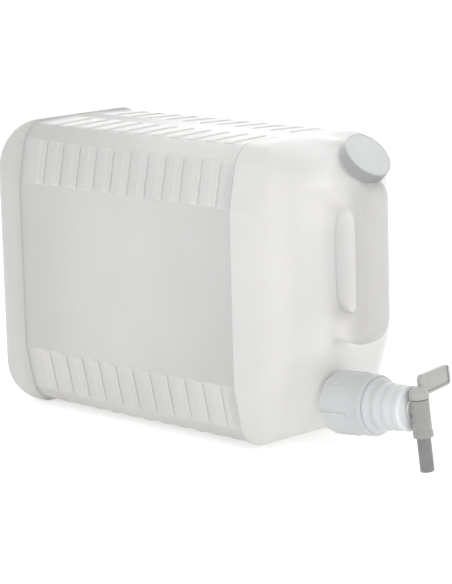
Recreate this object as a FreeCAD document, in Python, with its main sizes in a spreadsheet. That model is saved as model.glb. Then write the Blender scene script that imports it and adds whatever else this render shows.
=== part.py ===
import FreeCAD, Part
import os
import Sketcher

# Detergent dispenser bottle: a five gallon blow-moulded jug lying on its side, with a
# screwed fill cap on a slanted neck and a lever tap on a lower neck.
# +X points out of the tap end, +Y is the far side, +Z is up. Millimetres.
# The origin is in the middle of the underside of the ribbed middle section.

os.makedirs("parts", exist_ok=True)
doc = FreeCAD.newDocument("DispenserBottle")

# ---------------------------------------------------------------- driving dimensions
DIMENSIONS = [
    # jug, middle section
    ("rib_pitch", 25.0),
    ("rib_count", 11),
    ("centre_height", 148.2),
    ("half_width", 89.0),
    ("side_slope", 9.8),
    ("side_flat", 86.0),
    ("side_corner", 131.3),
    ("top_half", 148.2),
    ("top_strip", 13.2),
    ("top_drop", 1.5),
    ("top_corner", 65.8),
    ("corner_round", 14.2),
    ("wall", 2.0),
    ("rib_width", 10.2),
    ("rib_shift", -5.4),
    ("rib_proud", 1.4),
    ("top_rib_proud", 0.9),
    # rear bumper and front shoulder
    ("rear_face", -210.4),
    ("ring_front", -161.6),
    ("ring_proud", 2.5),
    ("rear_round", 29.5),
    ("rear_top_round", 58.0),
    ("rear_bottom_round", 44.0),
    ("step_plane", 143.3),
    ("step_proud", 1.4),
    ("front_face", 198.8),
    ("front_low", 184.5),
    ("front_kink", 92.9),
    ("front_low_height", 47.7),
    ("front_side_round", 24.4),
    ("front_top_round", 42.0),
    ("front_bottom_round", 44.7),
    # handle
    ("grip_back", 230.3),
    ("grip_front", 259.1),
    ("grip_width", 30.5),
    ("grip_round", 11.2),
    ("arm_low", 101.5),
    ("gap_low", 129.5),
    ("gap_high", 231.7),
    ("gap_round", 13.2),
    ("arm_round", 28.5),
    ("nose_top_x", 208.3),
    ("nose_knee", 252.9),
    ("knee_round", 18.0),
    # fill neck and cap
    ("cap_tilt", 47.0),
    ("cap_face_x", 242.5),
    ("cap_face_z", 286.3),
    ("cap_radius", 25.4),
    ("cap_height", 13.7),
    ("cap_roof", 1.8),
    ("cap_bore", 24.1),
    ("cap_flutes", 108),
    ("flute_radius", 0.42),
    ("liner_thick", 1.2),
    ("liner_radius", 23.6),
    ("fill_neck_radius", 22.6),
    ("fill_neck_bore", 19.7),
    ("fill_thread_radius", 23.7),
    ("fill_neck_foot", 29.7),
    ("fill_bore_foot", 37.7),
    ("fill_bore_length", 43.7),
    ("fill_bead_radius", 1.3),
    ("fill_bead_first", 3.4),
    ("fill_bead_pitch", 4.2),
    ("cap_room", 0.8),
    ("boss_radius", 24.6),
    ("boss_depth", 16.7),
    ("brow_depth", 68.0),
    ("brow_back", 33.0),
    ("brow_rise", 39.0),
    ("brow_half", 80.0),
    # lower neck, its union nut and the ringed sleeve
    ("spigot_x", 200.7),
    ("spigot_z", 39.6),
    ("spigot_tilt", 4.5),
    ("low_neck_radius", 25.8),
    ("low_neck_bore", 22.0),
    ("low_neck_length", 22.4),
    ("low_neck_root", 40.7),
    ("low_neck_root_radius", 27.6),
    ("low_neck_shoulder", 14.0),
    ("low_bore_root", 44.7),
    ("low_bore_length", 73.1),
    ("low_thread_radius", 26.9),
    ("low_bead_radius", 1.5),
    ("low_bead_first", 4.2),
    ("low_bead_pitch", 5.0),
    ("nut_radius", 30.0),
    ("nut_bore", 27.3),
    ("nut_length", 50.8),
    ("nut_shoulder", 28.5),
    ("nut_mouth", 24.4),
    ("lug_count", 6),
    ("lug_phase", -20.0),
    ("lug_width", 3.6),
    ("lug_proud", 1.1),
    ("lug_length", 31.5),
    ("gasket_thick", 2.2),
    ("gasket_radius", 26.6),
    ("gasket_bore", 20.8),
    ("flange_thick", 3.2),
    ("sleeve_radius", 21.5),
    ("sleeve_wall", 2.0),
    ("sleeve_end", 91.9),
    ("sleeve_web", 3.0),
    ("ring_first", 64.7),
    ("ring_pitch", 12.2),
    ("ring_radius", 23.4),
    ("ring_taper", 0.7),
    # tap, in its own frame: barrel along local Z, shank along local -X
    ("tap_x", 102.5),
    ("tap_roll", 3.5),
    ("shank_radius", 8.3),
    ("shank_bore", 5.7),
    ("shank_length", 32.5),
    ("tap_flange_radius", 10.1),
    ("tap_flange_thick", 2.0),
    ("washer_thick", 1.1),
    ("barrel_radius", 9.2),
    ("barrel_flare", 9.9),
    ("barrel_top", 10.2),
    ("barrel_bottom", 26.4),
    ("plug_radius", 6.1),
    ("plug_gap", 0.08),
    ("plug_bottom", 16.3),
    ("plug_groove", 7.6),
    ("stem_side", 6.4),
    ("stem_height", 9.0),
    ("port_radius", 3.7),
    ("oring_section", 0.75),
    ("nozzle_radius", 6.9),
    ("nozzle_bore", 5.0),
    ("nozzle_length", 34.0),
    ("nozzle_insert", 8.1),
    ("nozzle_spigot", 6.1),
    ("dome_radius", 9.9),
    ("dome_gap", 0.6),
    ("blade_length", 45.3),
    ("blade_bottom", 11.8),
    ("blade_height", 20.8),
    ("blade_thick", 4.2),
    ("blade_back", -1.8),
    ("blade_round", 5.0),
    ("blade_rise", 3.0),
    ("blade_rim", 2.0),
    ("blade_recess", 1.4),
]
sheet = doc.addObject("Spreadsheet::Sheet", "dims")
for row, (name, value) in enumerate(DIMENSIONS, start=1):
    sheet.set(f"A{row}", name)
    sheet.set(f"B{row}", str(value))
    sheet.setAlias(f"B{row}", name)
doc.recompute()
ALIASES = [name for name, _ in DIMENSIONS]


def bound(text):
    """An expression in which every dimension name points at the sheet."""
    words = ""
    token = ""
    for letter in text + " ":
        if letter.isalnum() or letter == "_":
            token += letter
            continue
        words += "dims." + token if token in ALIASES else token
        words += letter
        token = ""
    return words.strip()


def number(text):
    """The present value of an expression."""
    return float(sheet.evalExpression(text))


def body(label):
    made = doc.addObject("PartDesign::Body", label)
    made.Label = label
    return made


def flat_sketch(owner, role, loops):
    """Closed polygons on an origin plane; every corner is held by two sheet expressions."""
    sketch = owner.newObject("Sketcher::SketchObject", "Outline")
    planes = [f for f in owner.Origin.OriginFeatures if f.Role == role]
    sketch.AttachmentSupport = (planes[0], "")
    sketch.MapMode = "FlatFace"
    for corners in loops:
        values = [(number(u), number(v)) for u, v in corners]
        first = sketch.GeometryCount
        count = len(corners)
        for index in range(count):
            start = FreeCAD.Vector(*values[index], 0)
            end = FreeCAD.Vector(*values[(index + 1) % count], 0)
            sketch.addGeometry(Part.LineSegment(start, end), False)
        for index in range(count):
            here = first + index
            after = first + (index + 1) % count
            sketch.addConstraint(Sketcher.Constraint("Coincident", here, 2, after, 1))
        for index, (u, v) in enumerate(corners):
            here = first + index
            for kind, axis, value, text in (
                ("DistanceX", -2, values[index][0], u),
                ("DistanceY", -1, values[index][1], v),
            ):
                if text.strip() == "0":
                    sketch.addConstraint(Sketcher.Constraint("PointOnObject", here, 1, axis))
                    continue
                made = sketch.addConstraint(Sketcher.Constraint(kind, -1, 1, here, 1, value))
                sketch.setExpression(f"Constraints[{made}]", bound(text))
    doc.recompute()
    return sketch


def pad(owner, sketch, length, midplane=False, backwards=False):
    made = owner.newObject("PartDesign::Pad", "Pad")
    made.Profile = sketch
    made.Midplane = midplane
    made.Reversed = backwards
    made.setExpression("Length", bound(length))
    doc.recompute()
    return made


def revolve(label, loops, role="XZ_Plane", axis="V_Axis"):
    owner = body(label)
    sketch = flat_sketch(owner, role, loops)
    made = owner.newObject("PartDesign::Revolution", "Revolution")
    made.Profile = sketch
    made.ReferenceAxis = (sketch, [axis])
    made.Angle = 360.0
    doc.recompute()
    return owner


def round_edges(owner, radius, test):
    """A fillet on every edge of the body's tip that passes the test."""
    tip = owner.Tip
    chosen = [f"Edge{i}" for i, edge in enumerate(tip.Shape.Edges, start=1) if test(edge)]
    made = owner.newObject("PartDesign::Fillet", "Fillet")
    made.Base = (tip, chosen)
    made.setExpression("Radius", bound(radius))
    doc.recompute()
    return made


def along(edge, direction):
    """True for a straight edge that is parallel to the direction."""
    ends = edge.Vertexes
    if len(ends) != 2 or edge.Curve.TypeId != "Part::GeomLine":
        return False
    run = ends[1].Point.sub(ends[0].Point)
    run.normalize()
    return abs(run.dot(direction)) > 0.999


AXIS_X = FreeCAD.Vector(1, 0, 0)
AXIS_Y = FreeCAD.Vector(0, 1, 0)
AXIS_Z = FreeCAD.Vector(0, 0, 1)


def placed(item, text):
    item.setExpression("Placement", text)
    doc.recompute()


def vector(x, y, z):
    return f"create(<<vector>>; {x}; {y}; {z})"


def turn(axis, angle):
    return f"create(<<rotation>>; {axis}; {angle})"


def frame(base, rotation):
    return f"create(<<placement>>; {base}; {rotation})"


LIFTED = frame(vector("0", "0", "dims.centre_height"), turn(vector("0", "0", "1"), "0"))
CAP_FRAME = frame(
    vector("dims.cap_face_x", "0", "dims.cap_face_z"), turn(vector("0", "1", "0"), "dims.cap_tilt")
)
SPIGOT_TURN = turn(vector("0", "1", "0"), "-dims.spigot_tilt")
SPIGOT_FRAME = frame(vector("dims.spigot_x", "0", "dims.spigot_z"), SPIGOT_TURN)
TAP_FRAME = frame(
    vector(
        "dims.spigot_x + dims.tap_x * cos(dims.spigot_tilt * 1 deg)",
        "0",
        "dims.spigot_z + dims.tap_x * sin(dims.spigot_tilt * 1 deg)",
    ),
    SPIGOT_TURN + " * " + turn(vector("1", "0", "0"), "dims.tap_roll"),
)


def fuse(label, items):
    made = doc.addObject("Part::MultiFuse", label)
    made.Label = label
    made.Shapes = items
    made.Refine = True
    doc.recompute()
    return made


def cut(label, base, tool):
    made = doc.addObject("Part::Cut", label)
    made.Label = label
    made.Base = base
    made.Tool = tool
    doc.recompute()
    return made


def common(label, items):
    made = doc.addObject("Part::MultiCommon", label)
    made.Label = label
    made.Shapes = items
    doc.recompute()
    return made


def primitive(kind, label, where, **sizes):
    made = doc.addObject(kind, label)
    made.Label = label
    for name, text in sizes.items():
        made.setExpression(name, bound(text))
    placed(made, where)
    return made


# ---------------------------------------------------------------- the jug's envelope
def section(grow, drop):
    """The jug's cross-section: flanks that lean in above and below, a top that falls slightly
    to each side, and an underside that does the same or stays flat."""
    flank = [
        (f"half_width + {grow}", "side_flat"),
        (f"half_width - side_slope + {grow}", f"side_corner + {grow}"),
    ]
    top = [
        (f"top_corner + {grow}", f"top_half - top_drop + {grow}"),
        ("top_strip", f"top_half + {grow}"),
    ]
    underside = [
        (f"top_corner + {grow}", f"top_half - {drop} + {grow}"),
        ("top_strip", f"top_half + {grow}"),
    ]
    upper_right = flank + top
    upper_left = [(f"-({u})", v) for u, v in reversed(upper_right)]
    lower_left = [(f"-({u})", f"-({v})") for u, v in flank + underside]
    lower_right = [(f"-({u})", v) for u, v in reversed(lower_left)]
    return upper_right + upper_left + lower_left + lower_right


def section_prism(label, start, stop, grow, drop):
    """The cross-section drawn out along X between two planes, its long corners rounded."""
    owner = body(label)
    sketch = flat_sketch(owner, "YZ_Plane", [section(grow, drop)])
    sketch.setExpression("AttachmentOffset.Base.z", bound(start))
    doc.recompute()
    pad(owner, sketch, f"({stop}) - ({start})")
    high = number("side_corner") - 3.0
    round_edges(
        owner,
        f"corner_round + {grow}",
        lambda e: along(e, AXIS_X) and abs(e.Vertexes[0].Z) > high and abs(e.Vertexes[0].Y) > 40,
    )
    placed(owner, LIFTED)
    return owner


def rear_outline(label, inset):
    """The rear bumper's side view drawn across the width, its rear corners rounded."""
    owner = body(label)
    tall = f"top_half + ring_proud - {inset}"
    corners = [
        (f"rear_face + {inset}", f"-({tall})"),
        ("ring_front + 20", f"-({tall})"),
        ("ring_front + 20", tall),
        (f"rear_face + {inset}", tall),
    ]
    sketch = flat_sketch(owner, "XZ_Plane", [corners])
    pad(owner, sketch, f"2 * (half_width + ring_proud - {inset})", midplane=True)
    rear = number("rear_face") + 4.0
    for radius, way in (("rear_top_round", 1), ("rear_bottom_round", -1)):
        round_edges(
            owner,
            f"{radius} - {inset}",
            lambda e: along(e, AXIS_Y) and e.Vertexes[0].X < rear and e.Vertexes[0].Z * way > 0,
        )
    side = number("half_width") - 6.0
    front = number("ring_front") + 19.0
    round_edges(
        owner,
        f"rear_round - {inset}",
        lambda e: min(abs(v.Y) for v in e.Vertexes) > side and min(v.X for v in e.Vertexes) < front
        and not along(e, AXIS_X),
    )
    placed(owner, LIFTED)
    return owner


def shoulder_block(label, inset):
    """The front shoulder's side view drawn across the width, its front corners rounded."""
    owner = body(label)
    low = f"step_proud - {inset}"
    corners = [
        ("step_plane - 20", f"-(top_half + {low})"),
        (f"front_low - {inset}", f"-(top_half + {low})"),
        (f"front_low - {inset}", "front_low_height - centre_height"),
        (f"front_face - {inset}", "front_kink - centre_height"),
        (f"front_face - {inset}", f"top_half + {low}"),
        ("step_plane - 20", f"top_half + {low}"),
    ]
    sketch = flat_sketch(owner, "XZ_Plane", [corners])
    pad(owner, sketch, f"2 * (half_width + {low})", midplane=True)
    front = number("step_plane")
    edge_top = number("top_half") - 6.0
    round_edges(
        owner,
        f"front_top_round - {inset}",
        lambda e: along(e, AXIS_Y) and e.Vertexes[0].X > front and e.Vertexes[0].Z > edge_top,
    )
    round_edges(
        owner,
        f"front_bottom_round - {inset}",
        lambda e: along(e, AXIS_Y) and e.Vertexes[0].X > front and e.Vertexes[0].Z < -edge_top,
    )
    side = number("half_width") - 6.0
    round_edges(
        owner,
        f"front_side_round - {inset}",
        lambda e: min(v.X for v in e.Vertexes) > front + 5
        and min(abs(v.Y) for v in e.Vertexes) > side,
    )
    placed(owner, LIFTED)
    return owner


def slot_corners(inset):
    """Side view of the opening between the front wall and the grip."""
    low = f"gap_low - {inset} - centre_height"
    high = f"gap_high + {inset} - centre_height"
    return [
        (f"front_face - {inset}", low),
        (f"grip_back + {inset}", low),
        (f"grip_back + {inset}", high),
        (f"front_face - {inset}", high),
    ]


def nose(label, inset):
    """The handle's side view with its finger opening, drawn to the grip's width, all rounded."""
    owner = body(label)
    lift = "centre_height"
    corners = [
        ("step_plane + 20", f"arm_low + {inset} - {lift}"),
        (f"grip_front - {inset}", f"arm_low + {inset} - {lift}"),
        (f"grip_front - {inset}", f"nose_knee - {inset} - {lift}"),
        (f"nose_top_x - {inset}", f"top_half + step_proud - {inset}"),
        ("step_plane + 20", f"top_half + step_proud - {inset}"),
    ]
    pad(owner, flat_sketch(owner, "XZ_Plane", [corners]), f"grip_width - 2 * {inset}", midplane=True)
    front = number("grip_front") - 4.0
    middle = number("(gap_low + gap_high) / 2 - centre_height")
    for radius, way in (("arm_round", -1), ("knee_round", 1)):
        round_edges(
            owner,
            f"{radius} - {inset}",
            lambda e: along(e, AXIS_Y)
            and e.Vertexes[0].X > front
            and (e.Vertexes[0].Z - middle) * way > 0,
        )
    hole = owner.newObject("PartDesign::Pocket", "FingerHole")
    hole.Profile = flat_sketch(owner, "XZ_Plane", [slot_corners(inset)])
    hole.Midplane = True
    hole.setExpression("Length", bound("2 * grip_width"))
    doc.recompute()
    owner.Tip = hole
    wall_side = number("front_face") - 8.0
    grip_side = number("grip_back") + 8.0
    round_edges(
        owner,
        f"gap_round + {inset}",
        lambda e: along(e, AXIS_Y) and wall_side < e.Vertexes[0].X < grip_side,
    )
    side = number("grip_width") / 2 - 4.0
    inner = number("step_plane") + 21.0
    round_edges(
        owner,
        f"grip_round - {inset}",
        lambda e: min(abs(v.Y) for v in e.Vertexes) > side and max(v.X for v in e.Vertexes) > inner,
    )
    placed(owner, LIFTED)
    return owner


def deep(depth, back="0", spin="0"):
    """A frame on the fill neck's axis, the given depth below the cap's face; it may be set
    back from the axis towards the top of the jug, and turned about its own axis."""
    far = f"({bound(depth)})"
    aside = f"({bound(back)})"
    return frame(
        vector(
            f"dims.cap_face_x - {far} * sin(dims.cap_tilt * 1 deg)"
            f" - {aside} * cos(dims.cap_tilt * 1 deg)",
            "0",
            f"dims.cap_face_z - {far} * cos(dims.cap_tilt * 1 deg)"
            f" + {aside} * sin(dims.cap_tilt * 1 deg)",
        ),
        turn(vector("0", "1", "0"), "dims.cap_tilt")
        + " * "
        + turn(vector("0", "0", "1"), spin),
    )


def outward(distance):
    """A frame on the lower neck's axis with local Z pointing out along it."""
    return frame(
        vector(
            f"dims.spigot_x + ({bound(distance)}) * cos(dims.spigot_tilt * 1 deg)",
            "0",
            f"dims.spigot_z + ({bound(distance)}) * sin(dims.spigot_tilt * 1 deg)",
        ),
        turn(vector("0", "1", "0"), "90 - dims.spigot_tilt"),
    )


def brow(tag, inset):
    """The swelling that carries the fill neck: a wide ellipse inside the shoulder drawn out
    into the neck's round base."""
    wide = primitive(
        "Part::Ellipse",
        f"brow_ellipse_{tag}",
        deep("brow_depth", "brow_back", "90"),
        MajorRadius=f"brow_half - 1.5 * {inset}",
        MinorRadius=f"brow_rise - 1.5 * {inset}",
    )
    base = primitive(
        "Part::Circle",
        f"brow_circle_{tag}",
        deep(f"boss_depth + {inset}", "0", "90"),
        Radius=f"boss_radius - {inset}",
    )
    swelling = doc.addObject("Part::Loft", f"brow_loft_{tag}")
    swelling.Sections = [wide, base]
    swelling.Solid = True
    swelling.Ruled = True
    doc.recompute()
    return swelling


def cap_space(tag, inset):
    """The round space that the cap's skirt turns in."""
    return primitive(
        "Part::Cylinder",
        f"cap_space_{tag}",
        deep(f"cap_height + cap_room + {inset}"),
        Radius=f"cap_radius + cap_room + {inset}",
        Height="3 * cap_height",
    )


def envelope(tag, inset):
    """The whole jug, drawn in by the inset: nothing for its outside, the wall for its inside."""
    ring = f"(ring_proud - {inset})"
    step = f"(step_proud - {inset})"
    middle = section_prism(
        f"middle_{tag}", "ring_front - 4", "step_plane + 4", f"-{inset}", "top_drop"
    )
    rear_prism = section_prism(
        f"rear_prism_{tag}", f"rear_face + {inset}", f"ring_front - {inset}", ring, "0"
    )
    rear_block = rear_outline(f"rear_block_{tag}", inset)
    rear = common(f"rear_{tag}", [rear_prism, rear_block])
    front_prism = section_prism(
        f"front_prism_{tag}", f"step_plane + {inset}", "front_face + 5", step, "top_drop"
    )
    front_block = shoulder_block(f"front_block_{tag}", inset)
    front = common(f"front_{tag}", [front_prism, front_block])
    handle = cut(f"handle_{tag}", nose(f"nose_{tag}", inset), cap_space(tag, inset))
    boss = brow(tag, inset)
    root = primitive(
        "Part::Cylinder",
        f"root_{tag}",
        outward("-low_neck_root"),
        Radius=f"low_neck_root_radius - {inset}",
        Height=f"low_neck_root - low_neck_shoulder - {inset}",
    )
    return fuse(f"envelope_{tag}", [middle, rear, front, handle, boss, root])


# ---------------------------------------------------------------- bottle shell
def rib_rows():
    """Side views of the raised ribs: one on each leaning flank panel and each half of the top
    and of the underside."""
    rise = "(side_corner - side_flat)"
    flank = [
        ("half_width - 3", "side_flat + 1"),
        ("half_width - 0.3", "side_flat + 1"),
        ("half_width - side_slope * 0.06 + rib_proud", f"side_flat + {rise} * 0.07"),
        ("half_width - side_slope * 0.90 + rib_proud", f"side_flat + {rise} * 0.91"),
        ("half_width - side_slope", "side_corner"),
        ("half_width - side_slope - 3", "side_corner - 1"),
    ]
    top = [
        ("top_strip + 1", "top_half - 3"),
        ("top_strip + 1", "top_half - 0.1"),
        ("top_strip + 5", "top_half + top_rib_proud - 0.2"),
        ("top_corner - 7", "top_half - top_drop + top_rib_proud"),
        ("top_corner - 1", "top_half - top_drop - 0.1"),
        ("top_corner - 1", "top_half - top_drop - 3"),
    ]
    loops = []
    for outline in (flank, top):
        for side in ("", "-"):
            for way in ("", "-"):
                loops.append([(f"{side}({u})", f"{way}({v})") for u, v in outline])
    return loops


def rib_field():
    """Eleven ribs a pitch apart on every panel."""
    owner = body("ribs")
    sketch = flat_sketch(owner, "YZ_Plane", rib_rows())
    sketch.setExpression(
        "AttachmentOffset.Base.z", bound("rib_shift - rib_pitch * (rib_count - 1) / 2")
    )
    doc.recompute()
    made = pad(owner, sketch, "rib_width", midplane=True)
    pattern = owner.newObject("PartDesign::LinearPattern", "RibPattern")
    pattern.Originals = [made]
    pattern.Direction = (sketch, ["N_Axis"])
    pattern.setExpression("Length", bound("rib_pitch * (rib_count - 1)"))
    pattern.setExpression("Occurrences", bound("rib_count"))
    owner.Tip = pattern
    placed(owner, LIFTED)
    return owner


def tube(label, where, radius, height):
    return primitive("Part::Cylinder", label, where, Radius=radius, Height=height)


def bead(label, where, radius, section_radius):
    return primitive("Part::Torus", label, where, Radius1=radius, Radius2=section_radius)


outside = envelope("outside", "0 * wall")
inside = envelope("inside", "wall")
ribs = rib_field()
fill_neck = tube(
    "fill_neck", deep("fill_neck_foot"), "fill_neck_radius", "fill_neck_foot - cap_roof - liner_thick"
)
low_neck = tube(
    "low_neck", outward("-low_neck_root"), "low_neck_radius", "low_neck_root + low_neck_length"
)
beads = [
    bead(f"fill_bead_{i}", deep(f"cap_roof + liner_thick + fill_bead_first + fill_bead_pitch * {i}"),
         "fill_thread_radius - fill_bead_radius", "fill_bead_radius")
    for i in range(2)
]
beads += [
    bead(f"low_bead_{i}", outward(f"low_neck_length - low_bead_first - low_bead_pitch * {i}"),
         "low_thread_radius - low_bead_radius", "low_bead_radius")
    for i in range(3)
]
solid = fuse("shell_solid", [outside, ribs, fill_neck, low_neck] + beads)
fill_bore = tube("fill_bore", deep("fill_bore_foot"), "fill_neck_bore", "fill_bore_length")
low_bore = tube(
    "low_bore", outward("-low_bore_root"), "low_neck_bore", "low_bore_length"
)
walls = cut("shell_walls", solid, inside)
filling_end_open = cut("filling_end_open", walls, fill_bore)
bottle_shell = cut("bottle_shell", filling_end_open, low_bore)

# ---------------------------------------------------------------- fill cap
cap_body = revolve("cap_blank", [[
    ("cap_bore", "-cap_height"),
    ("cap_radius - 0.5", "-cap_height"),
    ("cap_radius", "-cap_height + 0.5"),
    ("cap_radius", "-1.0"),
    ("cap_radius - 0.9", "0"),
    ("cap_radius - 2.0", "0"),
    ("cap_radius - 2.3", "-0.4"),
    ("0", "-0.4"),
    ("0", "-cap_roof"),
    ("cap_bore - 0.6", "-cap_roof"),
    ("cap_bore", "-cap_roof - 0.6"),
]])
cap_body.Label = "fill_cap"
flute_sketch = flat_sketch(cap_body, "XY_Plane", [[
    ("cap_radius + 1", "flute_radius + 1"),
    ("cap_radius - flute_radius", "0"),
    ("cap_radius + 1", "-flute_radius - 1"),
]])
flute_sketch.setExpression("AttachmentOffset.Base.z", bound("-1.2"))
doc.recompute()
flute = cap_body.newObject("PartDesign::Pocket", "Flute")
flute.Profile = flute_sketch
flute.setExpression("Length", bound("cap_height - 2.0"))
doc.recompute()
flutes = cap_body.newObject("PartDesign::PolarPattern", "Flutes")
flutes.Originals = [flute]
flutes.Axis = (flute_sketch, ["N_Axis"])
flutes.Angle = 360.0
flutes.setExpression("Occurrences", bound("cap_flutes"))
cap_body.Tip = flutes
placed(cap_body, CAP_FRAME)
fill_cap = cap_body
fill_cap_liner = tube(
    "fill_cap_liner", deep("cap_roof + liner_thick - 0.1"), "liner_radius", "liner_thick - 0.2"
)

# ---------------------------------------------------------------- lower neck's union nut
nut = revolve("union_nut", [[
    ("0", "nut_bore"),
    ("nut_shoulder", "nut_bore"),
    ("nut_shoulder", "nut_mouth"),
    ("nut_length", "nut_mouth"),
    ("nut_length", "nut_radius - 2.6"),
    ("nut_length - 0.8", "nut_radius - 0.8"),
    ("nut_length - 2.6", "nut_radius"),
    ("0.6", "nut_radius"),
    ("0", "nut_radius - 0.6"),
]], axis="H_Axis")
lug_sketch = flat_sketch(nut, "YZ_Plane", [[
    ("-lug_width / 2", "nut_radius - 1"),
    ("lug_width / 2", "nut_radius - 1"),
    ("lug_width / 2 - 0.5", "nut_radius + lug_proud"),
    ("0.5 - lug_width / 2", "nut_radius + lug_proud"),
]])
lug_sketch.setExpression("AttachmentOffset.Base.z", bound("0.6"))
doc.recompute()
lug = pad(nut, lug_sketch, "lug_length")
lugs = nut.newObject("PartDesign::PolarPattern", "Lugs")
lugs.Originals = [lug]
lugs.Axis = (lug_sketch, ["N_Axis"])
lugs.Angle = 360.0
lugs.setExpression("Occurrences", bound("lug_count"))
nut.Tip = lugs
placed(nut, SPIGOT_FRAME[:-1] + " * " + turn(vector("1", "0", "0"), "dims.lug_phase") + ")")

gasket = revolve("neck_gasket", [[
    ("low_neck_length + 0.1", "gasket_bore"),
    ("low_neck_length + 0.1 + gasket_thick", "gasket_bore"),
    ("low_neck_length + 0.1 + gasket_thick", "gasket_radius"),
    ("low_neck_length + 0.1", "gasket_radius"),
]], axis="H_Axis")
placed(gasket, SPIGOT_FRAME)

# ---------------------------------------------------------------- ringed adapter sleeve
FLANGE_BACK = "low_neck_length + 0.2 + gasket_thick"


def sleeve_outline():
    """Half section of the sleeve: clamped flange, collar, three rounded rings, closing web."""
    outline = [
        (FLANGE_BACK, "sleeve_radius - sleeve_wall"),
        ("sleeve_end - sleeve_web", "sleeve_radius - sleeve_wall - 1"),
        ("sleeve_end - sleeve_web", "shank_radius + 0.1"),
        ("sleeve_end", "shank_radius + 0.1"),
    ]
    outline.append(("sleeve_end", "ring_radius - 3 * ring_taper - 1.2"))
    for ring in (2, 1, 0):
        centre = f"ring_first + {ring} * ring_pitch"
        crest = f"ring_radius - {ring} * ring_taper"
        valley = f"sleeve_radius - {ring} * ring_taper * 0.6"
        if ring < 2:
            outline.append((f"{centre} + 5.2", valley))
            outline.append((f"{centre} + 3.4", f"{crest} - 0.6"))
        outline.append((f"{centre} + 1.3", crest))
        outline.append((f"{centre} - 1.3", crest))
        outline.append((f"{centre} - 3.4", f"{crest} - 0.6"))
        outline.append((f"{centre} - 5.2", valley))
    outline += [
        ("nut_length + 6.4", "sleeve_radius + 0.4"),
        ("nut_length + 3.2", "nut_radius - 3.6"),
        ("nut_length + 0.4", "nut_radius - 2.8"),
        ("nut_length + 0.4", "sleeve_radius"),
        (f"{FLANGE_BACK} + flange_thick", "sleeve_radius"),
        (f"{FLANGE_BACK} + flange_thick", "gasket_radius"),
        (FLANGE_BACK, "gasket_radius"),
    ]
    return outline


sleeve = revolve("adapter_sleeve", [sleeve_outline()], axis="H_Axis")
placed(sleeve, SPIGOT_FRAME)
washer = revolve("tap_washer", [[
    ("sleeve_end + 0.1", "shank_radius + 0.1"),
    ("sleeve_end + 0.1 + washer_thick", "shank_radius + 0.1"),
    ("sleeve_end + 0.1 + washer_thick", "tap_flange_radius - 0.6"),
    ("sleeve_end + 0.1", "tap_flange_radius - 0.6"),
]], axis="H_Axis")
placed(washer, SPIGOT_FRAME)

# ---------------------------------------------------------------- tap
FLANGE_X = "(sleeve_end + 0.2 + washer_thick - tap_x)"
barrel = revolve("barrel", [[
    ("0", "-barrel_bottom"),
    ("barrel_flare", "-barrel_bottom"),
    ("barrel_flare", "-barrel_bottom + 5"),
    ("barrel_radius", "-barrel_bottom + 7"),
    ("barrel_radius", "barrel_top - 0.6"),
    ("barrel_radius - 0.6", "barrel_top"),
    ("0", "barrel_top"),
]])
shank = revolve("shank", [[
    ("-2", "0"),
    ("-2", "shank_radius - 1"),
    (f"{FLANGE_X} + tap_flange_thick", "shank_radius - 1"),
    (f"{FLANGE_X} + tap_flange_thick", "tap_flange_radius"),
    (FLANGE_X, "tap_flange_radius"),
    (FLANGE_X, "shank_radius"),
    (f"{FLANGE_X} - shank_length + 1", "shank_radius"),
    (f"{FLANGE_X} - shank_length", "shank_radius - 1"),
    (f"{FLANGE_X} - shank_length", "0"),
]], axis="H_Axis")
tap_solid = fuse("tap_solid", [barrel, shank])
barrel_bores = revolve("barrel_bores", [[
    ("0", "-barrel_bottom - 1"),
    ("nozzle_spigot", "-barrel_bottom - 1"),
    ("nozzle_spigot", "-barrel_bottom + nozzle_insert"),
    ("nozzle_bore", "-barrel_bottom + nozzle_insert"),
    ("nozzle_bore", "-plug_bottom - 0.4"),
    ("plug_radius + plug_gap", "-plug_bottom - 0.4"),
    ("plug_radius + plug_gap", "barrel_top + 1"),
    ("0", "barrel_top + 1"),
]])
inlet = revolve("inlet", [[
    ("0", "0"),
    ("0", "port_radius"),
    ("-plug_radius - 1.5", "port_radius"),
    ("-plug_radius - 2.5", "shank_bore"),
    (f"{FLANGE_X} - shank_length - 1", "shank_bore"),
    (f"{FLANGE_X} - shank_length - 1", "0"),
]], axis="H_Axis")
tap_hollow = fuse("tap_hollow", [barrel_bores, inlet])
tap_body = cut("tap_body", tap_solid, tap_hollow)
placed(tap_body, TAP_FRAME)

plug_blank = revolve("plug_blank", [[
    ("0", "-plug_bottom"),
    ("plug_radius", "-plug_bottom"),
    ("plug_radius", "-plug_groove - 1"),
    ("plug_radius - 1.5", "-plug_groove - 1"),
    ("plug_radius - 1.5", "-plug_groove + 1"),
    ("plug_radius", "-plug_groove + 1"),
    ("plug_radius", "plug_groove - 1"),
    ("plug_radius - 1.5", "plug_groove - 1"),
    ("plug_radius - 1.5", "plug_groove + 1"),
    ("plug_radius", "plug_groove + 1"),
    ("plug_radius", "barrel_top + dome_gap / 2"),
    ("0", "barrel_top + dome_gap / 2"),
]])
stem = primitive(
    "Part::Box",
    "stem",
    frame(
        vector("-dims.stem_side / 2", "-dims.stem_side / 2", "dims.barrel_top"),
        turn(vector("0", "0", "1"), "0"),
    ),
    Length="stem_side",
    Width="stem_side",
    Height="stem_height",
)
plug_solid = fuse("plug_solid", [plug_blank, stem])
port_down = primitive(
    "Part::Cylinder",
    "port_down",
    frame(vector("0", "0", "-dims.plug_bottom - 1"), turn(vector("0", "0", "1"), "0")),
    Radius="port_radius",
    Height="plug_bottom + 1",
)
port_side = primitive(
    "Part::Cylinder",
    "port_side",
    frame(vector("0", "0", "0"), turn(vector("1", "0", "0"), "90")),
    Radius="port_radius",
    Height="plug_radius + 1",
)
plug_hollow = fuse("plug_hollow", [port_down, port_side])
valve_plug = cut("valve_plug", plug_solid, plug_hollow)
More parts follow.
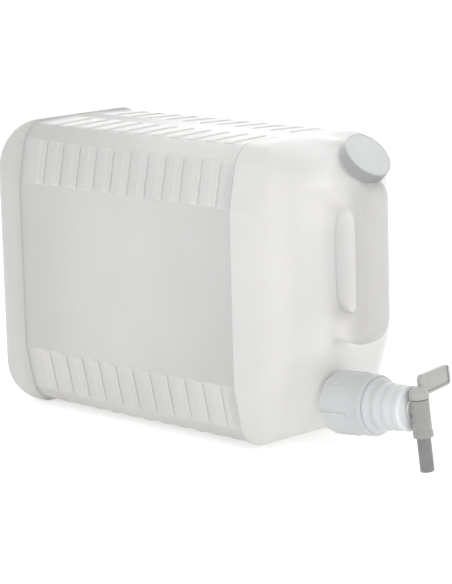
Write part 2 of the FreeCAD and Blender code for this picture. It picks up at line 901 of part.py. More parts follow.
placed(valve_plug, TAP_FRAME)


OCTAGON = (
    (0.924, 0.383),
    (0.383, 0.924),
    (-0.383, 0.924),
    (-0.924, 0.383),
    (-0.924, -0.383),
    (-0.383, -0.924),
    (0.383, -0.924),
    (0.924, -0.383),
)


def oring(label, height):
    ring = revolve(label, [oring_outline(height)])
    placed(ring, TAP_FRAME)
    return ring


def oring_outline(height):
    """An eight-sided ring section that stands in a groove of the plug."""
    outline = []
    for cosine, sine in OCTAGON:
        outline.append(
            (f"plug_radius - 0.72 + oring_section * {cosine}", f"{height} + oring_section * {sine}")
        )
    return outline


oring_upper = oring("plug_oring_upper", "plug_groove")
oring_lower = oring("plug_oring_lower", "-plug_groove")

nozzle = revolve("outlet_nozzle", [[
    ("nozzle_bore", "-barrel_bottom - nozzle_length"),
    ("nozzle_radius - 0.6", "-barrel_bottom - nozzle_length"),
    ("nozzle_radius", "-barrel_bottom - nozzle_length + 0.6"),
    ("nozzle_radius", "-barrel_bottom - 0.1"),
    ("nozzle_spigot - 0.02", "-barrel_bottom - 0.1"),
    ("nozzle_spigot - 0.02", "-barrel_bottom + nozzle_insert - 0.2"),
    ("nozzle_bore", "-barrel_bottom + nozzle_insert - 0.2"),
]])
placed(nozzle, TAP_FRAME)

# ---------------------------------------------------------------- lever
FOOT = "(barrel_top + dome_gap)"
dome = revolve("dome", [[
    ("0", FOOT),
    ("dome_radius - 0.4", FOOT),
    ("dome_radius", f"{FOOT} + 0.4"),
    ("dome_radius", f"{FOOT} + 3"),
    ("dome_radius * 0.94", f"{FOOT} + 6"),
    ("dome_radius * 0.76", f"{FOOT} + 9"),
    ("dome_radius * 0.48", f"{FOOT} + 11"),
    ("dome_radius * 0.2", f"{FOOT} + 12"),
    ("0", f"{FOOT} + 12.2"),
]])
blade = body("blade")
SLANT = "tan(blade_rise * 1 deg)"
blade_sketch = flat_sketch(blade, "YZ_Plane", [[
    ("-blade_back", "blade_bottom"),
    ("blade_length", f"blade_bottom + blade_length * {SLANT}"),
    ("blade_length", f"blade_bottom + blade_height + blade_length * {SLANT} - 0.6"),
    ("-blade_back", "blade_bottom + blade_height"),
]])
pad(blade, blade_sketch, "blade_thick", midplane=True)
round_edges(blade, "blade_round", lambda e: along(e, AXIS_X))
recess_sketch = flat_sketch(blade, "YZ_Plane", [[
    ("dome_radius + 1", f"blade_bottom + blade_rim + dome_radius * {SLANT}"),
    ("blade_length - blade_rim", f"blade_bottom + blade_rim + blade_length * {SLANT}"),
    ("blade_length - blade_rim", f"blade_bottom + blade_height - blade_rim + blade_length * {SLANT} - 0.6"),
    ("dome_radius + 1", f"blade_bottom + blade_height - blade_rim + dome_radius * {SLANT}"),
]])
recess_sketch.setExpression("AttachmentOffset.Base.z", bound("blade_thick / 2"))
doc.recompute()
recess = blade.newObject("PartDesign::Pocket", "Recess")
recess.Profile = recess_sketch
recess.setExpression("Length", bound("blade_recess"))
doc.recompute()
lever_solid = fuse("lever_solid", [dome, blade])
socket = primitive(
    "Part::Box",
    "socket",
    frame(
        vector(
            "-dims.stem_side / 2 - 0.03", "-dims.stem_side / 2 - 0.03", "dims.barrel_top - 1"
        ),
        turn(vector("0", "0", "1"), "0"),
    ),
    Length="stem_side + 0.06",
    Width="stem_side + 0.06",
    Height="stem_height + 1.3",
)
tap_lever = cut("tap_lever", lever_solid, socket)
placed(tap_lever, TAP_FRAME)

# ---------------------------------------------------------------- check and write
NODES = [
    bottle_shell,
    fill_cap,
    fill_cap_liner,
    nut,
    gasket,
    sleeve,
    washer,
    tap_body,
    valve_plug,
    oring_upper,
    oring_lower,
    tap_lever,
    nozzle,
]
doc.recompute()
for item in doc.Objects:
    faults = [state for state in item.State if state in ("Invalid", "Error")]
    if faults:
        raise RuntimeError(f"{item.Label} is in state {faults}")
for node in NODES:
    if not node.Shape.isValid() or len(node.Shape.Solids) != 1:
        raise RuntimeError(f"{node.Label} is not one valid solid")
for node in NODES:
    node.Shape.exportStep(f"parts/{node.Label}.step")
    print(node.Label, round(node.Shape.Volume / 1000, 2))
print("brimful litres", round(inside.Shape.Volume / 1e6, 2))
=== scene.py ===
"""Detergent dispenser bottle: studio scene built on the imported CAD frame, in metres."""
import math
import bmesh
import bpy
import numpy as np
from mathutils import Matrix, Vector
from mathutils.bvhtree import BVHTree


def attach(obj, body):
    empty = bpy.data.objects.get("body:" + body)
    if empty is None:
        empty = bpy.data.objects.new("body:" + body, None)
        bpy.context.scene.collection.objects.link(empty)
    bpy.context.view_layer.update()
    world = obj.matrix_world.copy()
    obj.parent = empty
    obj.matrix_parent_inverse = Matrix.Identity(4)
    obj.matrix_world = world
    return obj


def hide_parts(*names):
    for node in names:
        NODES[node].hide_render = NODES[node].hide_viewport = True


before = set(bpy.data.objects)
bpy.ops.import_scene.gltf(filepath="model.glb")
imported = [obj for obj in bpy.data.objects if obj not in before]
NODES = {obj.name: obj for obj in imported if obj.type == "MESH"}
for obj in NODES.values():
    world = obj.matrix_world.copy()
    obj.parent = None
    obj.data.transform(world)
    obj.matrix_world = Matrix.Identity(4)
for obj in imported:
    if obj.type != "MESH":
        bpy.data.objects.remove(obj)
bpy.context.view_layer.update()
MM = 0.001

# ---------------------------------------------------------------- places repeated from the CAD
FOOT_LEVEL = -2.5 * MM          # underside of the rear ring, which stands on the floor
STEP_PLANE = 143.3 * MM         # where the shoulder starts
JOIN_PLANE = STEP_PLANE + 0.9 * MM      # the ribbed part of the skin runs on to here
SHOULDER_PLANE = STEP_PLANE - 0.7 * MM  # and the shoulder part starts here, so they overlap
RIBS_END = 142.0 * MM           # no rib edge lies further forward
CAP_FACE = (242.5 * MM, 0.0, 286.3 * MM)
CAP_AXIS = (0.731354, 0.0, 0.681998)
CAP_RADIUS = 26.4 * MM
CAP_HEIGHT = 13.7 * MM
SPIGOT = (200.7 * MM, 0.0, 39.6 * MM)
SPIGOT_AXIS = (0.996917, 0.0, 0.078459)
NUT_RADIUS = 32.0 * MM

# ---------------------------------------------------------------- how the skin is worked
VOXEL = 1.7 * MM
MERGE_GAP = 0.002 * MM          # points nearer than this are one point
CUT_GAP = 0.001 * MM            # points this near a cutting plane lie on it
FLAT_ANGLE = math.radians(0.5)  # faces that bend less than this are joined into one
RIB_EDGE_ROUND = 0.6 * MM
RIB_EDGE_ANGLE = math.radians(24.0)
RIB_SHARP_ANGLE = math.radians(50.0)
HOLLOW_ROUNDS = 8               # how often the surface directions are worked out again
HOLLOW_STEPS = 32               # smoothing steps in each round
HOLLOW_FILL = 0.6               # share of an outward pull that is followed at each step
HOLLOW_SLIDE = 0.2              # share of a sideways pull that is followed at each step
SOFTEN_STEPS = 6
SOFTEN_SHARE = 0.5
FADE = 4.0 * MM                 # distance over which the smoothing fades out near a neck
SEAM_CLEAR = (1.0 * MM, 8.0 * MM)   # the smoothing grows from none to full past the seam
CAP_MARGIN = 3.0 * MM           # kept unsmoothed below the cap
NUT_MARGIN = 3.0 * MM           # and behind the union nut
ARM_START = 203.0 * MM          # on the arm under the finger opening the hollows fill less
ARM_HEIGHT = 165.0 * MM
ARM_FADE = 2.5 * FADE
ARM_SHARE = 0.45

# ---------------------------------------------------------------- the mould's parting line
FLASH_HALF = 0.8 * MM           # half the width of its flat top
FLASH_PROUD = 0.25 * MM
FLASH_SKIRT = 0.35 * MM         # the root is wider than the top by this on each side
FLASH_ROOT = 0.7 * MM           # depth of the root inside the skin
FLASH_SHORTEST = 6              # shorter runs of points are left out
FLASH_END = 150.0 * MM          # beyond this the line shows only in the finger opening
FLASH_CUT_GAP = 0.0001 * MM
FLASH_SHARP_ANGLE = math.radians(35.0)
FLASH_CAP_CLEAR = 4.0 * MM
FLASH_NUT_CLEAR = 6.0 * MM
SEAM_WALL = STEP_PLANE + 3.0 * MM   # the step at the seam ends before this
FACING_FRONT = 0.95             # least X of a direction that counts as forwards or backwards
FINGER_GAP = {                  # axis: lowest and highest place
    0: (196.0 * MM, 233.0 * MM),
    2: (128.0 * MM, 236.0 * MM),
}


# ---------------------------------------------------------------- how the plastic looks
GLOSS = 0.3
INDEX = 1.52
STREAK_STRETCH = (1.0, 1.0, 9.0)
STREAK_SCALE = 0.12             # the streaks' frequency as a share of the grain's
WAVE_SCALE = 1.7                # the wall's waves against the colour's clouds
WAVE_DEPTH = 6.0                # and their depth against the grain's
BUMP_STRENGTH = 0.35
GLOW_SPREAD = (1.0, 0.92, 0.82)
# Painted light and shade, as (place in metres along X or Y, tone).
# the jug: painted light and shade along X, darker at the rear, lighter towards the front wall and
# the finger opening, darker again on the grip
JUG_PAINTED_SHADING_ALONG = (
    (-0.215, 0.63),
    (-0.150, 0.71),
    (0.0, 0.735),
    (0.141, 0.79),
    (0.146, 0.825),
    (0.205, 0.845),
    (0.221, 0.86),
    (0.238, 0.67),
    (0.262, 0.62),
)
# painted light across Y: the middle band round the finger opening and grip kept lighter than the
# sides, against the shadow there
JUG_PAINTED_LIGHT_ACROSS = ((-0.060, 0.92), (-0.024, 1.0), (0.024, 1.0), (0.060, 0.92))
# the nut and sleeve: painted light and shade along X, the nut darker towards its front, the
# sleeve's end face lifted against its shadow
ADAPTER_PAINTED_SHADING_ALONG = (
    (0.190, 0.76),
    (0.222, 0.72),
    (0.250, 0.64),
    (0.256, 0.72),
    (0.2900, 0.76),
    (0.2916, 0.85),
    (0.300, 0.85),
)
# the tap: its own grey beyond the flange, and painted light that lifts the flange out of its
# shadow
TAP_GREY_AND_PAINTED_LIGHT = (
    (0.280, 0.90),
    (0.2948, 0.86),
    (0.2968, 0.42),
    (0.400, 0.42),
)
# Painted shade, as (how far the surface faces up, tone).
NUT_SHADE = ((-0.9, 0.78), (-0.3, 0.92), (0.2, 1.0), (1.0, 1.0))
CAP_SHADE = ((-0.75, 0.44), (-0.2, 0.62), (0.25, 0.88), (0.6, 1.0))
TAP_SHADE = ((-0.6, 0.60), (-0.1, 0.86), (0.25, 0.90), (0.9, 1.0))
GRIP_SHADE = ((-0.9, 0.86), (-0.2, 0.96), (0.3, 1.0), (1.0, 1.0))


# ---------------------------------------------------------------- camera
AZIMUTH = math.radians(45.1)
ELEVATION = math.radians(11.12)
ROLL = math.radians(-1.52)
LENS = 151.83
SENSOR = 36.0
NEAREST = 0.1
FURTHEST = 30.0
CAMERA_PLACE = (1.7755, -1.7225, 0.6097)


def set_camera():
    """A long lens looking at the tap corner from the jug's right, a little above the middle."""
    right = Vector((math.cos(AZIMUTH), math.sin(AZIMUTH), 0.0))
    back = Vector((
        math.sin(AZIMUTH) * math.cos(ELEVATION),
        -math.cos(AZIMUTH) * math.cos(ELEVATION),
        math.sin(ELEVATION),
    ))
    up = back.cross(right)
    side = right * math.cos(ROLL) + up * math.sin(ROLL)
    top = up * math.cos(ROLL) - right * math.sin(ROLL)
    data = bpy.data.cameras.new("studio_camera")
    data.lens = LENS
    data.sensor_width = SENSOR
    data.sensor_fit = "AUTO"
    data.clip_start = NEAREST
    data.clip_end = FURTHEST
    camera = bpy.data.objects.new("studio_camera", data)
    bpy.context.collection.objects.link(camera)
    place = Matrix((side, top, back)).transposed().to_4x4()
    place.translation = Vector(CAMERA_PLACE)
    camera.matrix_world = place
    bpy.context.scene.camera = camera


# ---------------------------------------------------------------- materials
def node_tree(name):
    """A new material: its nodes, its links and its Principled shader."""
    material = bpy.data.materials.new(name)
    material.use_nodes = True
    nodes = material.node_tree.nodes
    return material, nodes, material.node_tree.links, nodes["Principled BSDF"]


def noise(nodes, links, place, scale, detail=3.0, roughness=0.5):
    """A noise texture read in the object's own metres."""
    texture = nodes.new("ShaderNodeTexNoise")
    texture.inputs["Scale"].default_value = scale
    texture.inputs["Detail"].default_value = detail
    texture.inputs["Roughness"].default_value = roughness
    links.new(place, texture.inputs["Vector"])
    return texture.outputs["Fac"]


def spread(nodes, links, source, low, high, start=0.3, end=0.7):
    """Maps a texture's middle range onto low to high."""
    ranged = nodes.new("ShaderNodeMapRange")
    ranged.inputs["From Min"].default_value = start
    ranged.inputs["From Max"].default_value = end
    ranged.inputs["To Min"].default_value = low
    ranged.inputs["To Max"].default_value = high
    links.new(source, ranged.inputs["Value"])
    return ranged.outputs["Result"]


def two_tone(nodes, links, factor, first, second):
    """Mixes two colours by a factor."""
    mix = nodes.new("ShaderNodeMix")
    mix.data_type = "RGBA"
    mix.inputs["A"].default_value = (*first, 1.0)
    mix.inputs["B"].default_value = (*second, 1.0)
    links.new(factor, mix.inputs["Factor"])
    return mix.outputs["Result"]


def bumps(nodes, links, shader, layers):
    """Chains bump layers of (texture, strength, depth in metres) into the shader's normal."""
    normal = None
    for texture, strength, depth in layers:
        bump = nodes.new("ShaderNodeBump")
        bump.inputs["Strength"].default_value = strength
        bump.inputs["Distance"].default_value = depth
        links.new(texture, bump.inputs["Height"])
        if normal is not None:
            links.new(normal, bump.inputs["Normal"])
        normal = bump.outputs["Normal"]
    links.new(normal, shader.inputs["Normal"])


def toned(nodes, links, vector, axis, stops):
    """A tone that changes along one axis of a vector, for painted light and shade; stops are
    (value, tone).
    """
    parts = nodes.new("ShaderNodeSeparateXYZ")
    links.new(vector, parts.inputs["Vector"])
    first = stops[0][0]
    length = stops[-1][0] - first
    share = spread(nodes, links, parts.outputs[axis], 0.0, 1.0, first, first + length)
    band = nodes.new("ShaderNodeValToRGB")
    elements = band.color_ramp.elements
    inner = [elements.new((where - first) / length) for where, _ in stops[1:-1]]
    for element, (_, tone) in zip([elements[0], *inner, elements[-1]], stops):
        element.color = (tone, tone, tone, 1.0)
    links.new(share, band.inputs["Fac"])
    return band.outputs["Color"]


def multiplied(nodes, links, colour, tone):
    """A colour times a tone."""
    mix = nodes.new("ShaderNodeMix")
    mix.data_type = "RGBA"
    mix.blend_type = "MULTIPLY"
    mix.inputs["Factor"].default_value = 1.0
    links.new(colour, mix.inputs["A"])
    links.new(tone, mix.inputs["B"])
    return mix.outputs["Result"]


def plastic(name, clean, dull, rough, cloud, grain, depth, glow=0.0, radius=0.0, along=None,
            across=None, facing=None):
    """Moulded plastic: clouded colour, streaks of uneven gloss, a wavy wall and a fine grain. Its
    colour may carry painted light and shade along X and Y, and painted shade by how far the
    surface faces up."""
    material, nodes, links, shader = node_tree(name)
    coordinates = nodes.new("ShaderNodeTexCoord")
    place = coordinates.outputs["Object"]
    clouds = spread(nodes, links, noise(nodes, links, place, cloud), 0.0, 1.0)
    colour = two_tone(nodes, links, clouds, clean, dull)
    # painted light and shade: tones along X and across Y, and darker where the surface faces down,
    # multiplied into the colour
    if along:
        colour = multiplied(nodes, links, colour, toned(nodes, links, place, "X", along))
    if across:
        colour = multiplied(nodes, links, colour, toned(nodes, links, place, "Y", across))
    if facing:
        normal = coordinates.outputs["Normal"]
        colour = multiplied(nodes, links, colour, toned(nodes, links, normal, "Z", facing))
    links.new(colour, shader.inputs["Base Color"])
    stretch = nodes.new("ShaderNodeMapping")
    stretch.inputs["Scale"].default_value = STREAK_STRETCH
    links.new(place, stretch.inputs["Vector"])
    rubbed = noise(nodes, links, stretch.outputs["Vector"], grain * STREAK_SCALE, 5.0, 0.6)
    links.new(spread(nodes, links, rubbed, *rough), shader.inputs["Roughness"])
    fine = noise(nodes, links, place, grain, 2.0)
    wavy = noise(nodes, links, place, cloud * WAVE_SCALE, 1.0)
    layers = [(wavy, BUMP_STRENGTH, depth * WAVE_DEPTH), (fine, BUMP_STRENGTH, depth)]
    bumps(nodes, links, shader, layers)
    shader.inputs["IOR"].default_value = INDEX
    shader.inputs["Specular IOR Level"].default_value = GLOSS
    shader.inputs["Subsurface Weight"].default_value = glow
    if glow:
        shader.inputs["Subsurface Scale"].default_value = radius
        shader.inputs["Subsurface Radius"].default_value = GLOW_SPREAD
    return material


def all_materials():
    """Every finish of the part, by name."""
    return {
        # the jug's colour carries painted light and shade along X and across Y, and painted shade
        # on its undersides
        "hdpe_natural": plastic(
            "natural_polyethylene", (1.0, 0.987, 0.967), (0.945, 0.934, 0.912),
            rough=(0.42, 0.56), cloud=7.0, grain=900.0, depth=0.00005, glow=0.6, radius=0.004,
            along=JUG_PAINTED_SHADING_ALONG, across=JUG_PAINTED_LIGHT_ACROSS, facing=GRIP_SHADE,
        ),
        "cap_plastic": plastic(
            "cap_polypropylene", (0.68, 0.695, 0.69), (0.64, 0.655, 0.65),
            rough=(0.30, 0.42), cloud=40.0, grain=1600.0, depth=0.00003, glow=0.15, radius=0.002,
            facing=CAP_SHADE,
        ),
        # painted light and shade along X, and painted shade on the undersides of the nut and
        # sleeve
        "adapter_plastic": plastic(
            "adapter_polyethylene", (0.97, 0.99, 1.0), (0.92, 0.945, 0.96),
            rough=(0.30, 0.42), cloud=14.0, grain=1500.0, depth=0.000015, glow=0.5, radius=0.004,
            along=ADAPTER_PAINTED_SHADING_ALONG, facing=NUT_SHADE,
        ),
        # the tap's own grey with painted light on its flange, and painted shade on its undersides
        "tap_plastic": plastic(
            "tap_polypropylene", (1.0, 1.005, 0.967), (0.92, 0.925, 0.885),
            rough=(0.24, 0.34), cloud=40.0, grain=1800.0, depth=0.000015, glow=0.1, radius=0.0015,
            along=TAP_GREY_AND_PAINTED_LIGHT, facing=TAP_SHADE,
        ),
        "lever_plastic": plastic(
            "lever_polypropylene", (0.53, 0.532, 0.512), (0.485, 0.487, 0.467),
            rough=(0.24, 0.34), cloud=40.0, grain=1800.0, depth=0.000015, glow=0.1, radius=0.0015,
            facing=TAP_SHADE,
        ),
        "nozzle_plastic": plastic(
            "nozzle_polypropylene", (0.25, 0.253, 0.248), (0.215, 0.218, 0.213),
            rough=(0.22, 0.32), cloud=80.0, grain=2000.0, depth=0.00001,
        ),
        "washer_rubber": plastic(
            "washer_rubber", (0.72, 0.72, 0.70), (0.66, 0.66, 0.64),
            rough=(0.5, 0.65), cloud=90.0, grain=2400.0, depth=0.00003,
        ),
        "seal_rubber": plastic(
            "seal_rubber", (0.035, 0.035, 0.035), (0.055, 0.053, 0.05),
            rough=(0.6, 0.75), cloud=90.0, grain=2400.0, depth=0.00004,
        ),
        "foam_liner": plastic(
            "foam_liner", (0.80, 0.80, 0.78), (0.74, 0.74, 0.72),
            rough=(0.75, 0.9), cloud=150.0, grain=1500.0, depth=0.0002,
        ),
    }


SLOT_OF = {
    "bottle_shell": "hdpe_natural",
    "fill_cap": "cap_plastic",
    "fill_cap_liner": "foam_liner",
    "union_nut": "adapter_plastic",
    "adapter_sleeve": "adapter_plastic",
    "neck_gasket": "seal_rubber",
    "tap_washer": "washer_rubber",
    "tap_body": "tap_plastic",
    "valve_plug": "tap_plastic",
    "plug_oring_upper": "seal_rubber",
    "plug_oring_lower": "seal_rubber",
    "outlet_nozzle": "nozzle_plastic",
    "tap_lever": "lever_plastic",
}


def dress_nodes(finishes):
    """Gives every CAD node its finish."""
    for node, slot in SLOT_OF.items():
        mesh = NODES[node].data
        mesh.materials.clear()
        mesh.materials.append(finishes[slot])


# ---------------------------------------------------------------- the blown skin
def linked(mesh, name):
    """A new object that holds the mesh."""
    made = bpy.data.objects.new(name, mesh)
    bpy.context.collection.objects.link(made)
    return made


def slab_of_wall(name, plane, keep_front):
    """The jug's wall on one side of a plane across X, closed where it is cut."""
    shape = bmesh.new()
    shape.from_mesh(NODES["bottle_shell"].data)
    bmesh.ops.remove_doubles(shape, verts=shape.verts, dist=MERGE_GAP)
    everything = shape.verts[:] + shape.edges[:] + shape.faces[:]
    split = bmesh.ops.bisect_plane(
        shape,
        geom=everything,
        dist=CUT_GAP,
        plane_co=(plane, 0.0, 0.0),
        plane_no=(1.0, 0.0, 0.0),
        clear_inner=keep_front,
        clear_outer=not keep_front,
    )
    rim = [e for e in split["geom_cut"] if isinstance(e, bmesh.types.BMEdge)]
    bmesh.ops.triangle_fill(shape, edges=rim, use_beauty=True)
    bmesh.ops.recalc_face_normals(shape, faces=shape.faces)
    mesh = bpy.data.meshes.new(name)
    shape.to_mesh(mesh)
    shape.free()
    return mesh


def ribbed_part():
    """The ribbed middle and the rear bumper, with every rib edge rounded over."""
    mesh = slab_of_wall("ribbed_part", JOIN_PLANE, False)
    shape = bmesh.new()
    shape.from_mesh(mesh)
    bmesh.ops.dissolve_limit(
        shape, angle_limit=FLAT_ANGLE, verts=shape.verts, edges=shape.edges
    )
    crisp = []
    for edge in shape.edges:
        if len(edge.link_faces) != 2:
            continue
        ends = [v.co for v in edge.verts]
        bend = edge.calc_face_angle(0.0)
        if bend > RIB_EDGE_ANGLE and all(abs(c.x) < RIBS_END for c in ends):
            crisp.append(edge)
    bmesh.ops.bevel(
        shape,
        geom=crisp,
        offset=RIB_EDGE_ROUND,
        segments=2,
        profile=0.5,
        affect="EDGES",
        clamp_overlap=True,
    )
    bmesh.ops.triangulate(shape, faces=[f for f in shape.faces if len(f.verts) > 4])
    shape.to_mesh(mesh)
    shape.free()
    mesh.polygons.foreach_set("use_smooth", [True] * len(mesh.polygons))
    mesh.set_sharp_from_angle(angle=RIB_SHARP_ANGLE)
    return mesh


def evaluated_mesh(thing):
    """The mesh of an object with its modifiers applied; the object goes."""
    graph = bpy.context.evaluated_depsgraph_get()
    mesh = bpy.data.meshes.new_from_object(thing.evaluated_get(graph))
    bpy.data.objects.remove(thing)
    return mesh


def neighbours(mesh):
    """Both ends of every edge, each way round, and how many neighbours each point has."""
    ends = np.empty(2 * len(mesh.edges), dtype=np.int64)
    mesh.edges.foreach_get("vertices", ends)
    pairs = ends.reshape(-1, 2)
    here = np.concatenate([pairs[:, 0], pairs[:, 1]])
    there = np.concatenate([pairs[:, 1], pairs[:, 0]])
    return here, there, np.bincount(here, minlength=len(mesh.vertices))


def pull(points, here, there, count):
    """From each point to the middle of its neighbours."""
    total = len(points)
    middle = [np.bincount(here, weights=points[there, k], minlength=total) for k in range(3)]
    return np.stack(middle, axis=1) / count[:, None] - points


def normals_of(mesh, points):
    """The mesh's point normals with its points at these places."""
    mesh.vertices.foreach_set("co", points.ravel())
    mesh.update()
    values = np.empty(3 * len(points))
    mesh.vertex_normals.foreach_get("vector", values)
    return values.reshape(-1, 3)


def ramp(values, start, stop):
    """Goes smoothly from 0 at start to 1 at stop."""
    share = np.clip((values - start) / (stop - start), 0.0, 1.0)
    return share * share * (3.0 - 2.0 * share)


def away_from(points, middle, axis, radius, reach):
    """0 within the radius of a line beyond a plane set reach along it, 1 well away from there."""
    offset = points - np.array(middle)
    depth = offset @ np.array(axis)
    aside = np.linalg.norm(offset - depth[:, None] * np.array(axis), axis=1)
    clear_aside = ramp(aside, radius, radius + FADE)
    clear_deep = ramp(-depth, -reach, FADE - reach)
    return np.maximum(clear_aside, clear_deep)


def shoulder_part():
    """The shoulder, handle and necks, with the hollow corners away from the seam, the cap and the
    union nut filled into wide soft fillets."""
    start = linked(slab_of_wall("shoulder_start", SHOULDER_PLANE, True), "shoulder_start")
    remesh = start.modifiers.new("remesh", "REMESH")
    remesh.mode = "VOXEL"
    remesh.voxel_size = VOXEL
    mesh = evaluated_mesh(start)
    points = np.empty(3 * len(mesh.vertices))
    mesh.vertices.foreach_get("co", points)
    points = points.reshape(-1, 3)
    here, there, count = neighbours(mesh)
    free = ramp(points[:, 0], STEP_PLANE + SEAM_CLEAR[0], STEP_PLANE + SEAM_CLEAR[1])
    free *= away_from(points, CAP_FACE, CAP_AXIS, CAP_RADIUS, -CAP_HEIGHT - CAP_MARGIN)
    free *= away_from(points, SPIGOT, SPIGOT_AXIS, NUT_RADIUS, -NUT_MARGIN)
    on_arm = ramp(points[:, 0], ARM_START, ARM_START + FADE)
    on_arm *= ramp(-points[:, 2], -ARM_HEIGHT, ARM_FADE - ARM_HEIGHT)
    free *= 1.0 - ARM_SHARE * on_arm
    for _ in range(HOLLOW_ROUNDS):
        normals = normals_of(mesh, points)
        for _ in range(HOLLOW_STEPS):
            move = pull(points, here, there, count)
            rise = np.sum(move * normals, axis=1)
            slide = move - rise[:, None] * normals
            lift = np.maximum(rise, 0.0)[:, None] * normals
            points += free[:, None] * (HOLLOW_FILL * lift + HOLLOW_SLIDE * slide)
    for _ in range(SOFTEN_STEPS):
        points += SOFTEN_SHARE * free[:, None] * pull(points, here, there, count)
    normals_of(mesh, points)
    mesh.polygons.foreach_set("use_smooth", [True] * len(mesh.polygons))
    return mesh


def jug_skin(finish):
    """The jug's wall: the ribbed part and the shoulder part, two closed shells in one mesh."""
    shape = bmesh.new()
    for mesh in (ribbed_part(), shoulder_part()):
        shape.from_mesh(mesh)
    whole = bpy.data.meshes.new("bottle_skin")
    shape.to_mesh(whole)
    shape.free()
    whole.materials.append(finish)
    skin = linked(whole, "bottle_skin")
    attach(skin, "bottle")
    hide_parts("bottle_shell")
    return skin


def middle_section(skin):
    """Where the jug's middle plane cuts the skin's outside: runs of (place, outward direction)."""
    shape = bmesh.new()
    shape.from_mesh(skin.data)
    surface = BVHTree.FromBMesh(shape)
    split = bmesh.ops.bisect_plane(
        shape,
        geom=shape.verts[:] + shape.edges[:] + shape.faces[:],
        dist=FLASH_CUT_GAP,
        plane_co=(0.0, 0.0, 0.0),
        plane_no=(0.0, 1.0, 0.0),
    )
    shape.normal_update()
    runs = []
    for chain in chains([e for e in split["geom_cut"] if isinstance(e, bmesh.types.BMEdge)]):
        run = []
        for vertex in chain:
            outward = Vector((vertex.normal.x, 0.0, vertex.normal.z)).normalized()
            if shows(surface, vertex.co, outward):
                run.append((vertex.co.copy(), outward))
                continue
            runs.append(run)
            run = []
        runs.append(run)
    shape.free()
    return [run for run in runs if len(run) > FLASH_SHORTEST]


def shows(surface, place, outward):
    """True where the parting line shows: in the finger opening, or on the body with nothing ahead.
    Never on the step at the seam, and never near the cap or the union nut."""
    in_gap = all(low < place[k] < high for k, (low, high) in FINGER_GAP.items())
    if RIBS_END < place.x < SEAM_WALL and abs(outward.x) > FACING_FRONT:
        return False
    near_cap = (place - Vector(CAP_FACE)).length < CAP_RADIUS + FLASH_CAP_CLEAR
    near_nut = (place - Vector(SPIGOT)).length < NUT_RADIUS + FLASH_NUT_CLEAR
    if near_cap or near_nut:
        return False
    on_body = place.x < FLASH_END
    return in_gap or (on_body and surface.ray_cast(place + outward * MM, outward)[0] is None)


def chains(edges):
    """Runs of joined edges, as lists of vertices, always in the same order."""
    waiting = dict.fromkeys(edges)
    runs = []
    while waiting:
        edge = waiting.popitem()[0]
        run = [edge.verts[0], edge.verts[1]]
        for _ in range(2):
            while True:
                onward = [e for e in run[-1].link_edges if e in waiting]
                if not onward:
                    break
                del waiting[onward[0]]
                run.append(onward[0].other_vert(run[-1]))
            run.reverse()
        runs.append(run)
    return runs


def parting_line(skin, finish):
    """The trimmed flash left by the mould's two halves: a low flat ridge on the middle plane,
    whose root is sunk into the skin."""
    profile = (
        (-FLASH_HALF - FLASH_SKIRT, -FLASH_ROOT),
        (-FLASH_HALF, FLASH_PROUD),
        (FLASH_HALF, FLASH_PROUD),
        (FLASH_HALF + FLASH_SKIRT, -FLASH_ROOT),
    )
    shape = bmesh.new()
    for run in middle_section(skin):
        rows = []
        for place, outward in run:
            rows.append([
                shape.verts.new(place + outward * height + Vector((0.0, across, 0.0)))
                for across, height in profile
            ])
        for first, second in zip(rows, rows[1:]):
            for k in range(len(profile)):
                after = (k + 1) % len(profile)
                shape.faces.new((first[k], first[after], second[after], second[k]))
        shape.faces.new(rows[0])
        shape.faces.new(rows[-1])
    bmesh.ops.recalc_face_normals(shape, faces=shape.faces)
    mesh = bpy.data.meshes.new("parting_line")
    shape.to_mesh(mesh)
    shape.free()
    mesh.polygons.foreach_set("use_smooth", [True] * len(mesh.polygons))
    mesh.set_sharp_from_angle(angle=FLASH_SHARP_ANGLE)
    mesh.materials.append(finish)
    line = linked(mesh, "parting_line")
    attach(line, "bottle")


# ---------------------------------------------------------------- studio
WHITE = (1.0, 1.0, 1.0)
COOL_WHITE = (0.93, 0.97, 1.0)
PAPER = (0.9, 0.9, 0.9)
PAPER_GRAIN = 60.0
PAPER_ROUGHNESS = (0.85, 0.95)
PAPER_GLOSS = 0.1
FLOOR_GLOW = 0.4
BACKDROP_GLOW = 1.1
SURROUNDINGS = 0.72
LIT_POINT = (0.0, 0.0, 0.15)


def stage_material(name, glow):
    """Matt pale paper that gives some light of its own."""
    material, nodes, links, shader = node_tree(name)
    place = nodes.new("ShaderNodeTexCoord").outputs["Object"]
    grain = noise(nodes, links, place, PAPER_GRAIN)
    links.new(spread(nodes, links, grain, *PAPER_ROUGHNESS), shader.inputs["Roughness"])
    shader.inputs["Base Color"].default_value = (*PAPER, 1.0)
    shader.inputs["Specular IOR Level"].default_value = PAPER_GLOSS
    shader.inputs["Emission Color"].default_value = (*WHITE, 1.0)
    shader.inputs["Emission Strength"].default_value = glow
    return material


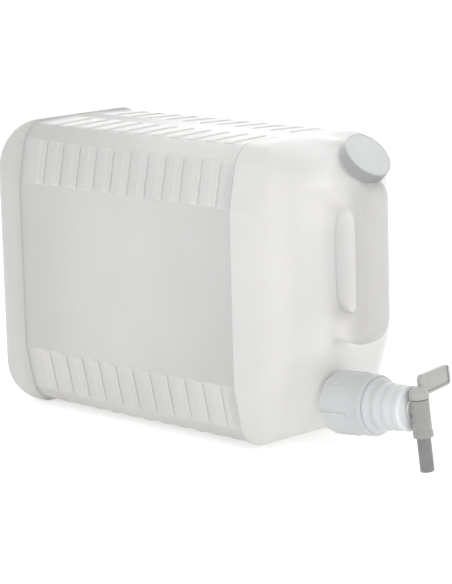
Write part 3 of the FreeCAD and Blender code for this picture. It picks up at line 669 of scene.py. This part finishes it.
def lay_floor():
    """A pale floor under the jug that rolls down under the tap, so that the spout hangs clear."""
    half = 7.5
    drop = 0.03
    edge = 0.225
    roll = 0.05
    steps = 24
    rows = [(-half, FOOT_LEVEL)]
    for index in range(steps + 1):
        share = index / steps
        ease = share * share * (3.0 - 2.0 * share)
        rows.append((edge + roll * share, FOOT_LEVEL - drop * ease))
    rows.append((half, FOOT_LEVEL - drop))
    mesh = bpy.data.meshes.new("floor")
    points = []
    faces = []
    for x, z in rows:
        points += [(x, -half, z), (x, half, z)]
    for index in range(len(rows) - 1):
        first = 2 * index
        faces.append((first, first + 2, first + 3, first + 1))
    mesh.from_pydata(points, [], faces)
    for face in mesh.polygons:
        face.use_smooth = True
    mesh.materials.append(stage_material("pale_floor", FLOOR_GLOW))
    linked(mesh, "floor")


def hang_backdrop():
    """A bright paper sheet behind the jug, square to the camera's heading."""
    distance = 4.5
    half = 6.9
    low = -0.2
    high = 6.0
    heading = Vector((-math.sin(AZIMUTH), math.cos(AZIMUTH), 0.0))
    across = Vector((heading.y, -heading.x, 0.0))
    middle = heading * distance
    corners = []
    for side, height in ((-half, low), (half, low), (half, high), (-half, high)):
        corners.append(middle + across * side + Vector((0.0, 0.0, height)))
    mesh = bpy.data.meshes.new("backdrop")
    mesh.from_pydata(corners, [], [(0, 1, 2, 3)])
    mesh.materials.append(stage_material("bright_backdrop", BACKDROP_GLOW))
    linked(mesh, "backdrop")


def soft_light(name, place, size, power, colour):
    """A square area light at place, turned towards the jug."""
    data = bpy.data.lights.new(name, "AREA")
    data.shape = "SQUARE"
    data.size = size
    data.energy = power
    data.color = colour
    light = bpy.data.objects.new(name, data)
    bpy.context.collection.objects.link(light)
    light.location = place
    towards = Vector(LIT_POINT) - Vector(place)
    light.rotation_euler = towards.to_track_quat("-Z", "Y").to_euler()


def set_lights():
    """Plain white surroundings and three large soft lights, the top one a little cool."""
    world = bpy.data.worlds.new("studio_world")
    world.use_nodes = True
    background = world.node_tree.nodes["Background"]
    background.inputs["Color"].default_value = (*WHITE, 1.0)
    background.inputs["Strength"].default_value = SURROUNDINGS
    bpy.context.scene.world = world
    soft_light("top_light", (-0.1, -0.1, 1.9), 1.4, 5.6, COOL_WHITE)
    soft_light("side_light", (-0.7, -2.3, 0.9), 1.4, 3.0, WHITE)
    soft_light("front_light", (2.0, -0.2, 0.55), 1.0, 5.0, WHITE)


def main():
    """Builds the scene on the frame."""
    bpy.context.scene.view_settings.view_transform = "Standard"
    set_camera()
    finishes = all_materials()
    dress_nodes(finishes)
    skin = jug_skin(finishes["hdpe_natural"])
    parting_line(skin, finishes["hdpe_natural"])
    lay_floor()
    hang_backdrop()
    set_lights()


main()
